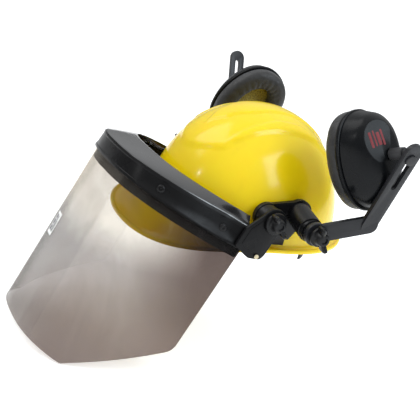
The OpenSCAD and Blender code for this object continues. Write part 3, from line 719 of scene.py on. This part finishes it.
def ear_part(side):
    turns = [math.radians(a) for a in range(-8, 176, 6)]
    arc = [Vector((15 * math.cos(a), 15 * math.sin(a))) for a in turns]
    corners = rounded([Vector(p) for p in ((-14.9, 0.8), (-26, -19), (-26, -43), (-8, -47), (-2, -48),
                                           (12, -44), (14.5, -38), (14.95, -2.6))], [0, 3, 3, 3, 2, 5, 5, 0])
    outline = arc + corners[1:-1]
    body = plate(outline, 117.05, 121.2, 0.9)
    pad = [p * 0.78 + Vector((-0.6, -3.4)) for p in outline]
    raised = plate(pad, 120.4, 121.95, 0.5)
    parts = join_parts(body, raised)
    return moved(parts, MIRROR) if side < 0 else parts


carrier = join_parts(build_band(), ear_part(1), ear_part(-1))
piece("carrier_band", carrier, CARRIER, "face_shield", ["visor_carrier"],
      place=shield_place)


def build_guard():
    rings = []
    for t, _ in spaced(-84, 84, 200):
        low = band_top(t) + 0.3
        g = -10.2 - 1.5 * front_share(t)
        sec = []
        outer = [(0.0, 0.0), (0.012, 0.55), (0.05, 0.95), (0.3, 1.25), (0.6, 1.1), (0.92, 0.7), (0.985, 0.4),
                 (1.0, 0.0)]
        for f, crown in outer:
            w = lerp(top_w(t) - 0.3, 100.9, f)
            r = lerp(CREACH + 0.7, 114.0, f)
            sec.append(bow(w, r, t, lerp(low - 0.2, g + 1.4, f) + crown * 0.8))
        for f, crown in ((1.0, -0.9), (0.985, -1.4), (0.6, -1.3), (0.3, -1.2), (0.07, -1.0), (0.03, -0.6)):
            w = lerp(top_w(t) - 0.3, 100.9, f)
            r = lerp(CREACH + 0.7, 114.0, f)
            sec.append(bow(w, r, t, lerp(low - 0.4, g + 1.4, f) + crown * 0.8))
        rings.append(sec)
    return loft(rings)


piece("brow_guard_gloss", build_guard(), GUARD, "face_shield", ["brow_guard"],
      place=shield_place)


def build_strip():
    rings = []
    near, far = 2.0, 4.0
    for t, _ in spaced(-87, 87, 180):
        sec = []
        for z, d in ((-56, near + 0.5), (-55.5, near), (LOW, near), (LOW + HEAD - 0.5, near),
                     (LOW + HEAD, near + 0.5), (LOW + HEAD, far - 0.5), (LOW + HEAD - 0.5, far),
                     (LOW - 3, far), (LOW - 3.6, far - 0.5), (-52.5, far - 0.5), (-52, far), (-55.5, far),
                     (-56, far - 0.5)):
            sec.append(wall_pt(t, z, d))
        rings.append(sec)
    return loft(rings)


piece("clamp_strip_inner", build_strip(), STRIP, "face_shield", ["visor_clamp_strip"],
      place=shield_place)

RAKE = math.sin(math.radians(1.4))
FRONT_D, SIDE_D, STRAIGHT = 207.0, 136.0, 102.0


def sheet_depth(run, half):
    k = smooth((abs(run) - STRAIGHT + 12) / 24) * 0.5
    over = max(abs(run) - STRAIGHT, 0) / (half - STRAIGHT)
    return FRONT_D - (FRONT_D - SIDE_D) * over - k * 2


def build_sheet():
    cols = spaced(-87.1, 87.1, 260)
    half = cols[-1][1]
    rows = 60
    rings = []
    for t, run in cols:
        low = sheet_depth(run, half)
        corner = max(0.0, abs(run) - (half - 7)) / 7
        low -= 6 * (1 - math.sqrt(max(0.0, 1 - corner * corner)))
        outer, inner = [], []
        for i in range(rows + 1):
            f = i / rows
            z = lerp(LOW - low, LOW + HEAD, f)
            lean = max(LOW - z, 0) * RAKE
            outer.append(wall_pt(t, z, 0.5, lean))
            inner.append(wall_pt(t, z, 1.45, lean))
        rings.append(outer + inner[::-1])
    return loft(rings)


piece("sheet_clear_bent", build_sheet(), SHEET, "face_shield", ["visor_sheet"],
      place=shield_place, angle=60)



def rivet_part(t):
    """Domed rivet head with a sunk centre, standing on the band's outer face."""
    at, ahead = wall_pt(t, -33.5, -2.5), wall_pt(t + 1, -33.5, -2.5)
    along = (ahead - at).normalized()
    out = along.cross(Vector((0, 0, 1))).normalized()
    if out.dot(at) < 0:
        out = -out
    head = revolve([(-1.6, 4.3), (0.6, 4.5), (1.2, 4.2), (1.8, 3.5), (2.15, 2.5), (2.1, 1.7), (1.3, 1.3),
                    (1.1, 0.4)], 32)
    turn = Matrix((out, along, out.cross(along))).transposed().to_4x4()
    back = revolve([(-8.2, 1.6), (-8.0, 2.6), (-7.6, 3.0), (-6.6, 3.0), (-6.5, 1.8), (-1.0, 1.8)], 24)
    return moved(join_parts(head, back), Matrix.Translation(at) @ turn)


piece("carrier_rivets", join_parts(*[rivet_part(t) for t in (-75, -41, 41, 75)]), FITTING, "face_shield",
      ["visor_rivets"], place=shield_place)
softened("carrier_studs", CREAM, "face_shield", 0.5, 3)

LABEL_T, LABEL_DROP = -9.0, 98.0


def on_sheet(run_mm, up_mm, proud):
    """Point on the sheet's outer face, from the label's middle."""
    z = LOW - LABEL_DROP + up_mm
    here = bow(CW, CREACH, LABEL_T, 0)
    ahead = bow(CW, CREACH, LABEL_T + 0.5, 0)
    t = LABEL_T + 0.5 * run_mm / (ahead - here).length
    return wall_pt(t, z, 0.5 - proud, (LOW - z) * RAKE)


def on_sheet_patch(x0, x1, z0, z1, proud, thick, cols=10):
    """Thin film that follows the sheet."""
    rings = []
    for i in range(cols + 1):
        x = lerp(x0, x1, i / cols)
        rings.append([on_sheet(x, z0, proud), on_sheet(x, lerp(z0, z1, 0.5), proud), on_sheet(x, z1, proud),
                      on_sheet(x, z1, proud + thick), on_sheet(x, lerp(z0, z1, 0.5), proud + thick),
                      on_sheet(x, z0, proud + thick)])
    return loft(rings)


piece("label_film_white", on_sheet_patch(-8, 8, -14, 14, 0.06, 0.22), LABEL, "face_shield",
      ["visor_label"], place=shield_place)
bars = [on_sheet_patch(x0, x1, z0, z1, 0.30, 0.08, 3) for x0, x1, z0, z1 in
        ((-5.6, -0.8, 5.5, 10.5), (-5.6, -0.8, -2.0, 3.8), (-5.6, -0.8, -9.8, -3.8), (1.2, 2.4, -10.0, 10.0),
         (3.2, 3.8, -10.0, 10.0), (4.6, 6.0, -10.0, 4.0))]
piece("label_bars", join_parts(*bars), INK, "face_shield", place=shield_place)

# ---------------------------------------------------------------- knobs


def wing_part(reach, tip_x, base_x, thick):
    """One blade of a wing knob, swelling towards its tip; it grows along +Y."""
    rings = []
    for k in range(13):
        f = k / 12
        y = lerp(3.0, reach, f)
        x_hi = lerp(12.0, tip_x, smooth(f * 1.1)) - 2.2 * max(0, f - 0.86) / 0.14
        x_lo = lerp(0.6, base_x, smooth(f)) + 2.6 * max(0, f - 0.86) / 0.14
        w = thick * lerp(1.25, 1.0, f) * (1 if f < 0.9 else lerp(1, 0.55, (f - 0.9) / 0.1))
        ring = []
        for j in range(20):
            a = 2 * math.pi * j / 20
            c, s = power(math.cos(a), 0.6), power(math.sin(a), 0.6)
            flare = 1 + 0.25 * smooth(f) * (c > 0)
            ring.append(Vector((lerp(x_lo, x_hi, 0.5 + 0.5 * c), y, s * w / 2 * flare)))
        rings.append(ring)
    return loft(rings)


def knob_part(flange_r, turn):
    hub = revolve([(0.0, flange_r - 0.7), (0.2, flange_r - 0.15), (0.8, flange_r), (2.6, flange_r),
                   (3.2, flange_r - 0.3), (3.5, flange_r - 1.0), (3.6, 9.0), (4.6, 8.0), (8.0, 7.5),
                   (11.2, 7.0), (12.2, 6.4), (12.5, 5.4), (12.5, 3.9), (11.0, 3.6)])
    blade = wing_part(14.6, 15.4, 1.6, 4.2)
    other = moved(blade, Matrix.Rotation(math.pi, 4, "X"))
    return moved(join_parts(hub, blade, other), Matrix.Rotation(math.radians(turn), 4, "X"))


MUFF_Y, MUFF_Z = 1.0, 45.0
for side, sx in (("left", 1), ("right", -1)):
    flip = MIRROR if sx < 0 else Matrix.Identity(4)
    front = moved(knob_part(12.5, -52), flip @ Matrix.Translation((123.6, PIVOT_Y, PIVOT_Z)))
    piece(side + "_shield_wing_knob", front, FITTING, side + "_visor_fastener",
          [side + "_visor_knob"], angle=40)
    rear = moved(knob_part(11, -68), flip @ Matrix.Translation((158.5, MUFF_Y, MUFF_Z)))
    piece(side + "_muff_wing_knob", rear, FITTING, side + "_muff_fastener",
          [side + "_arm_knob"], angle=40)
    softened(side + "_visor_washer", PIN, side + "_visor_fastener", 0.25)
    softened(side + "_adapter", FITTING, "helmet", 1.0, 3)
    softened(side + "_arm_seat", FITTING, side + "_muff_rocker", 0.35)
    softened(side + "_arm", ARM, side + "_muff_arm", 1.1, 3)
    softened(side + "_cup_pin", PIN, side + "_muff_slider", 0.4)
    softened(side + "_cup_ball", PIN, side + "_muff_swivel", 0.25)
    softened(side + "_cup_socket", PIN, side + "_ear_cup", 0.6)

# ---------------------------------------------------------------- ear cups

CUP_W, CUP_H, CUP_D, CUSHION_T = 39.8, 54.0, 42.0, 18.5
EYE_X, ARM_T, BALL_DROP, BALL_REACH, NECK_UP = 149.5, 5.0, 10.0, 16.5, 5.0
BEND = 60.4 * Vector((math.sin(math.radians(12)), math.cos(math.radians(12)) * math.cos(math.radians(21)),
                      math.cos(math.radians(12)) * math.sin(math.radians(21))))
LEAN = math.radians(17)


def ball_centre(side):
    at, out = (89.0, 0.0) if side == "left" else (59.5, 5.5)
    local = BEND + at * Vector((math.sin(LEAN), 0, math.cos(LEAN))) - BALL_DROP * Vector(
        (math.cos(LEAN), 0, -math.sin(LEAN)))
    p = Vector((EYE_X + ARM_T / 2, MUFF_Y, MUFF_Z)) + Matrix.Rotation(math.radians(out), 3, "Y") @ local
    return p if side == "left" else Vector((-p.x, p.y, p.z))


CUP_TURN = {"left": (18.3, -23.7, 12), "right": (31.9, -7.6, 169.6)}


def cup_place(side):
    turn = Euler([math.radians(a) for a in CUP_TURN[side]], "XYZ").to_matrix().to_4x4()
    inward = Matrix.Translation((-CUP_D - BALL_REACH, 0, -NECK_UP))
    return Matrix.Translation(ball_centre(side)) @ turn @ inward


def cup_ring(x, inset, rise=0.0, n=96, p=2.15):
    out = []
    for i in range(n):
        y, z = superpoint(CUP_W - inset, CUP_H - inset, p, 360 * i / n)
        out.append(Vector((x, y, z + rise)))
    return out


def spline(points, steps):
    """Catmull-Rom through a list of tuples."""
    out = []
    n = len(points)
    for i in range(n - 1):
        p0, p1, p2, p3 = points[max(i - 1, 0)], points[i], points[i + 1], points[min(i + 2, n - 1)]
        for k in range(steps):
            t = k / steps
            out.append(tuple(0.5 * (2 * b + (c - a) * t + (2 * a - 5 * b + 4 * c - d) * t * t
                                    + (3 * b - a - 3 * c + d) * t ** 3)
                             for a, b, c, d in zip(p0, p1, p2, p3)))
    out.append(points[-1])
    return out


FACET_AT, FACET_FACING = Vector((36.0, -11.0, 25.2)), Vector((0.915, -0.330, 0.230)).normalized()


def build_cup_shell():
    """Domed cup with one flat facet, crisp at its edge, that carries the printed mark."""
    d = CUP_D - 0.6
    profile = [(5.4, 1.2, 0.8), (7, 0.9, 0.8), (d * 0.4, 3.2, 1.2), (d * 0.62, 7.4, 3.2),
               (d * 0.8, 13.5, 4.4), (d * 0.92, 19.5, 5.0), (d * 0.985, 25.0, 5.0), (d, 29.0, 5.0)]
    outer = [cup_ring(*p, n=180) for p in spline(profile, 12)]
    for ring in outer:
        for v in ring:
            proud = FACET_FACING.dot(v - FACET_AT)
            if proud > 0:
                v -= FACET_FACING * proud * 0.94
    inner = [cup_ring(d - 6.5, 30, 5.0, 180), cup_ring(d * 0.8, 23, 4.8, 180),
             cup_ring(d * 0.68, 16, 4.0, 180), cup_ring(d * 0.5, 10.2, 2.8, 180),
             cup_ring(d * 0.34, 6.2, 1.2, 180), cup_ring(5.4, 3.8, 0, 180)]
    return loft(inner + outer)


def build_mark():
    """Plain printed bars on the facet."""
    across = Vector((0, 0, 1)).cross(FACET_FACING).normalized()
    up = FACET_FACING.cross(across)
    parts = []
    for k, (half_w, half_h) in enumerate(((1.5, 8.5), (1.0, 8.5), (1.9, 7.0), (1.2, 8.5))):
        mid = FACET_AT + FACET_FACING * 0.1 + across * (k * 4.6 - 7.0) + up * (0.8 * math.sin(k * 2.0))
        corners = rounded([Vector(c) for c in ((-half_w, -half_h), (half_w, -half_h), (half_w, half_h),
                                               (-half_w, half_h))], 0.8, 3)
        rings = [[mid + across * c.x * g + up * c.y * g + FACET_FACING * h for c in corners]
                 for h, g in ((-0.3, 1.0), (0.16, 1.0), (0.24, 0.95))]
        parts.append(loft(rings))
    return join_parts(*parts)


def oval_loop(section, n=128):
    """Ring round the cup's outline; section is a list of (x, inset)."""
    rings = [cup_ring(x, inset, 0.0, n) for x, inset in section]
    return loft(rings, loop=True)


def build_cushion(seed):
    """Puffed sealing ring with pulled-in seams, small tucks round its hole and soft dents."""
    t = CUSHION_T
    n = 192
    rows = [(-0.35, 1.6), (-t * 0.10, 0.7), (-t * 0.28, -0.0), (-t * 0.5, 0.0), (-t * 0.70, 0.9),
            (-t * 0.86, 3.2), (-t * 0.96, 6.6), (-t, 10.5)]
    hole = [(-t * 0.985, -4.6), (-t * 0.93, -1.6), (-t * 0.82, 0.4), (-t * 0.62, 1.0), (-t * 0.3, 0.8),
            (-0.35, 0.4)]
    rings = []
    for x, inset in spline(rows, 3):
        rings.append(("o", x, inset))
    for x, inset in spline(hole, 3):
        rings.append(("h", x, inset))
    out = []
    for kind, x, inset in rings:
        ring = []
        for i in range(n):
            a = 360 * i / n
            if kind == "o":
                y, z = superpoint(CUP_W - inset, CUP_H - inset, 2.15, a)
            else:
                y, z = superpoint(19.5 - inset, 31.3 - inset, 2.1, a)
            v = Vector((x, y, z))
            depth = max(0.0, min(1.0, -x / t))
            dent = noise.noise(Vector((y * 0.055, z * 0.055, seed))) * 0.9
            fold = noise.noise(Vector((y * 0.16, z * 0.16, seed + 7))) * 0.35
            drift = 1.5 * noise.noise(Vector((y * .1, z * .1, 3)))
            tuck = math.cos(math.radians(a) * 26 + seed + drift) * 0.35
            if kind == "h":
                v.x += tuck * depth * 0.8
                k = 1 + 0.012 * tuck
                v.y *= k
                v.z *= k
            elif x < -t * 0.6:
                v.x += max(0.0, dent + fold + 0.35 * tuck * (inset > 6)) * 0.9
            else:
                k = 1 - 0.010 * max(0.0, fold + dent * 0.5) - 0.004 * max(0, tuck)
                v.y *= k
                v.z *= k
            ring.append(v)
        out.append(ring)
    return loft(out, loop=True)


def build_foam():
    n = 72
    rings = []
    for k in range(13):
        f = k / 12
        a, b = (CUP_W - 10.8) * f, (CUP_H - 10.8) * f
        ring = []
        for i in range(n):
            y, z = superpoint(max(a, 0.3), max(b, 0.4), 2.15, 360 * i / n)
            x = 0.4 + 1.6 * noise.noise(Vector((y * 0.12, z * 0.12, 4))) ** 2 + 1.5 * max(0, f - 0.9) / 0.1
            ring.append(Vector((max(x, 0.35), y, z)))
        rings.append(ring)
    back = cup_ring(8, 11, 0, n)
    rings.append([Vector((8, v.y, v.z)) for v in back])
    rings.append([Vector((11, v.y * 0.8, v.z * 0.8)) for v in back])
    return loft(rings)


for side in ("left", "right"):
    place = cup_place(side)
    body = side + "_ear_cup"
    piece(side + "_cup_shell_moulded", build_cup_shell(), CUP, body, [side + "_cup_shell"],
          place=place, angle=45)
    rim = oval_loop([(0.0, -0.6), (0.3, -1.2), (1.0, -1.5), (2.0, -1.5), (2.4, -1.1), (2.8, -1.1),
                     (3.2, -1.5), (4.0, -1.5), (4.7, -1.2), (5.0, -0.6), (5.0, 8.5), (4.6, 10.0),
                     (0.4, 10.0), (0.0, 9.0)])
    piece(side + "_cup_plate_rim", rim, CUP, body, [side + "_cup_plate"], place=place)
    pad = piece(side + "_cushion_soft", build_cushion(2.0 if side == "left" else 5.0), LEATHER, body,
                [side + "_cushion"], place=place, angle=70, subdivide=1)
    liner = piece(side + "_foam_liner", build_foam(), FOAM, body, [side + "_foam"], place=place,
                  angle=80)
    piece(side + "_cup_mark_bars", build_mark(), PRINT, body, [side + "_cup_mark"],
          place=place)

# ---------------------------------------------------------------- floor, light and camera

bpy.ops.mesh.primitive_plane_add(size=60, location=(0, 0, cad_box[0].z - 0.002))
floor = bpy.context.object
floor.name = "floor"
paper = Nodes("paper_white")
paper.bsdf.inputs["Emission Color"].default_value = (1, 1, 1, 1)
paper.bsdf.inputs["Emission Strength"].default_value = 0.35
floor.data.materials.append(paper.set(Base_Color=(0.93, 0.93, 0.93, 1), Roughness=0.9))

bpy.context.scene.view_settings.view_transform = "Standard"
world = bpy.data.worlds.new("studio")
bpy.context.scene.world = world
world.use_nodes = True
sky = world.node_tree
SKY_LOW, SKY_GAIN = 0.20, 1.20  # brightness at the horizon, and how much the zenith adds
height = sky.nodes.new("ShaderNodeSeparateXYZ")
where = sky.nodes.new("ShaderNodeTexCoord")
sky.links.new(where.outputs["Generated"], height.inputs[0])
lift = sky.nodes.new("ShaderNodeMath")
lift.operation = "MAXIMUM"
lift.inputs[1].default_value = 0.0
sky.links.new(height.outputs[2], lift.inputs[0])
gain = sky.nodes.new("ShaderNodeMath")
gain.operation = "MULTIPLY_ADD"
gain.inputs[1].default_value = SKY_GAIN
gain.inputs[2].default_value = SKY_LOW
sky.links.new(lift.outputs[0], gain.inputs[0])
sky.links.new(gain.outputs[0], sky.nodes["Background"].inputs[1])
sky.nodes["Background"].inputs[0].default_value = (0.97, 0.985, 1.0, 1)

centre = Vector((0.0, -0.05, 0.03))


def area(name, where, size, power_w, aim=centre, color=(1, 1, 1)):
    data = bpy.data.lights.new(name, "AREA")
    data.shape = "RECTANGLE"
    data.size, data.size_y = size
    data.energy = power_w
    data.color = color
    ob = bpy.data.objects.new(name, data)
    bpy.context.scene.collection.objects.link(ob)
    ob.location = where
    ob.rotation_mode = "QUATERNION"
    ob.rotation_quaternion = (aim - Vector(where)).to_track_quat("-Z", "Y")
    return ob


area("window", (1.40, 0.66, 1.36), (0.95, 1.1), 20, color=(0.82, 0.92, 1.0))
area("glint", (0.13, -1.95, 0.86), (0.07, 0.07), 1.6)
area("side_fill", (-0.9, -1.3, 1.8), (1.4, 1.4), 16)

cam = bpy.data.cameras.new("camera")
cam_ob = bpy.data.objects.new("camera", cam)
bpy.context.scene.collection.objects.link(cam_ob)
# axes and place of the camera at the photograph's viewing angle
right = Vector((0.42343605, 0.86836242, 0.25816394))
up = Vector((-0.39628644, -0.07871436, 0.91474647))
back = Vector((0.81465267, -0.4896435, 0.31078975))
m = Matrix((right, up, back)).transposed().to_4x4()
m.translation = Vector((0.846895, -0.550602, 0.326561))
cam_ob.matrix_world = m
cam.sensor_width = 36
cam.lens = 74.37
cam.clip_start = 0.01
bpy.context.scene.camera = cam_ob
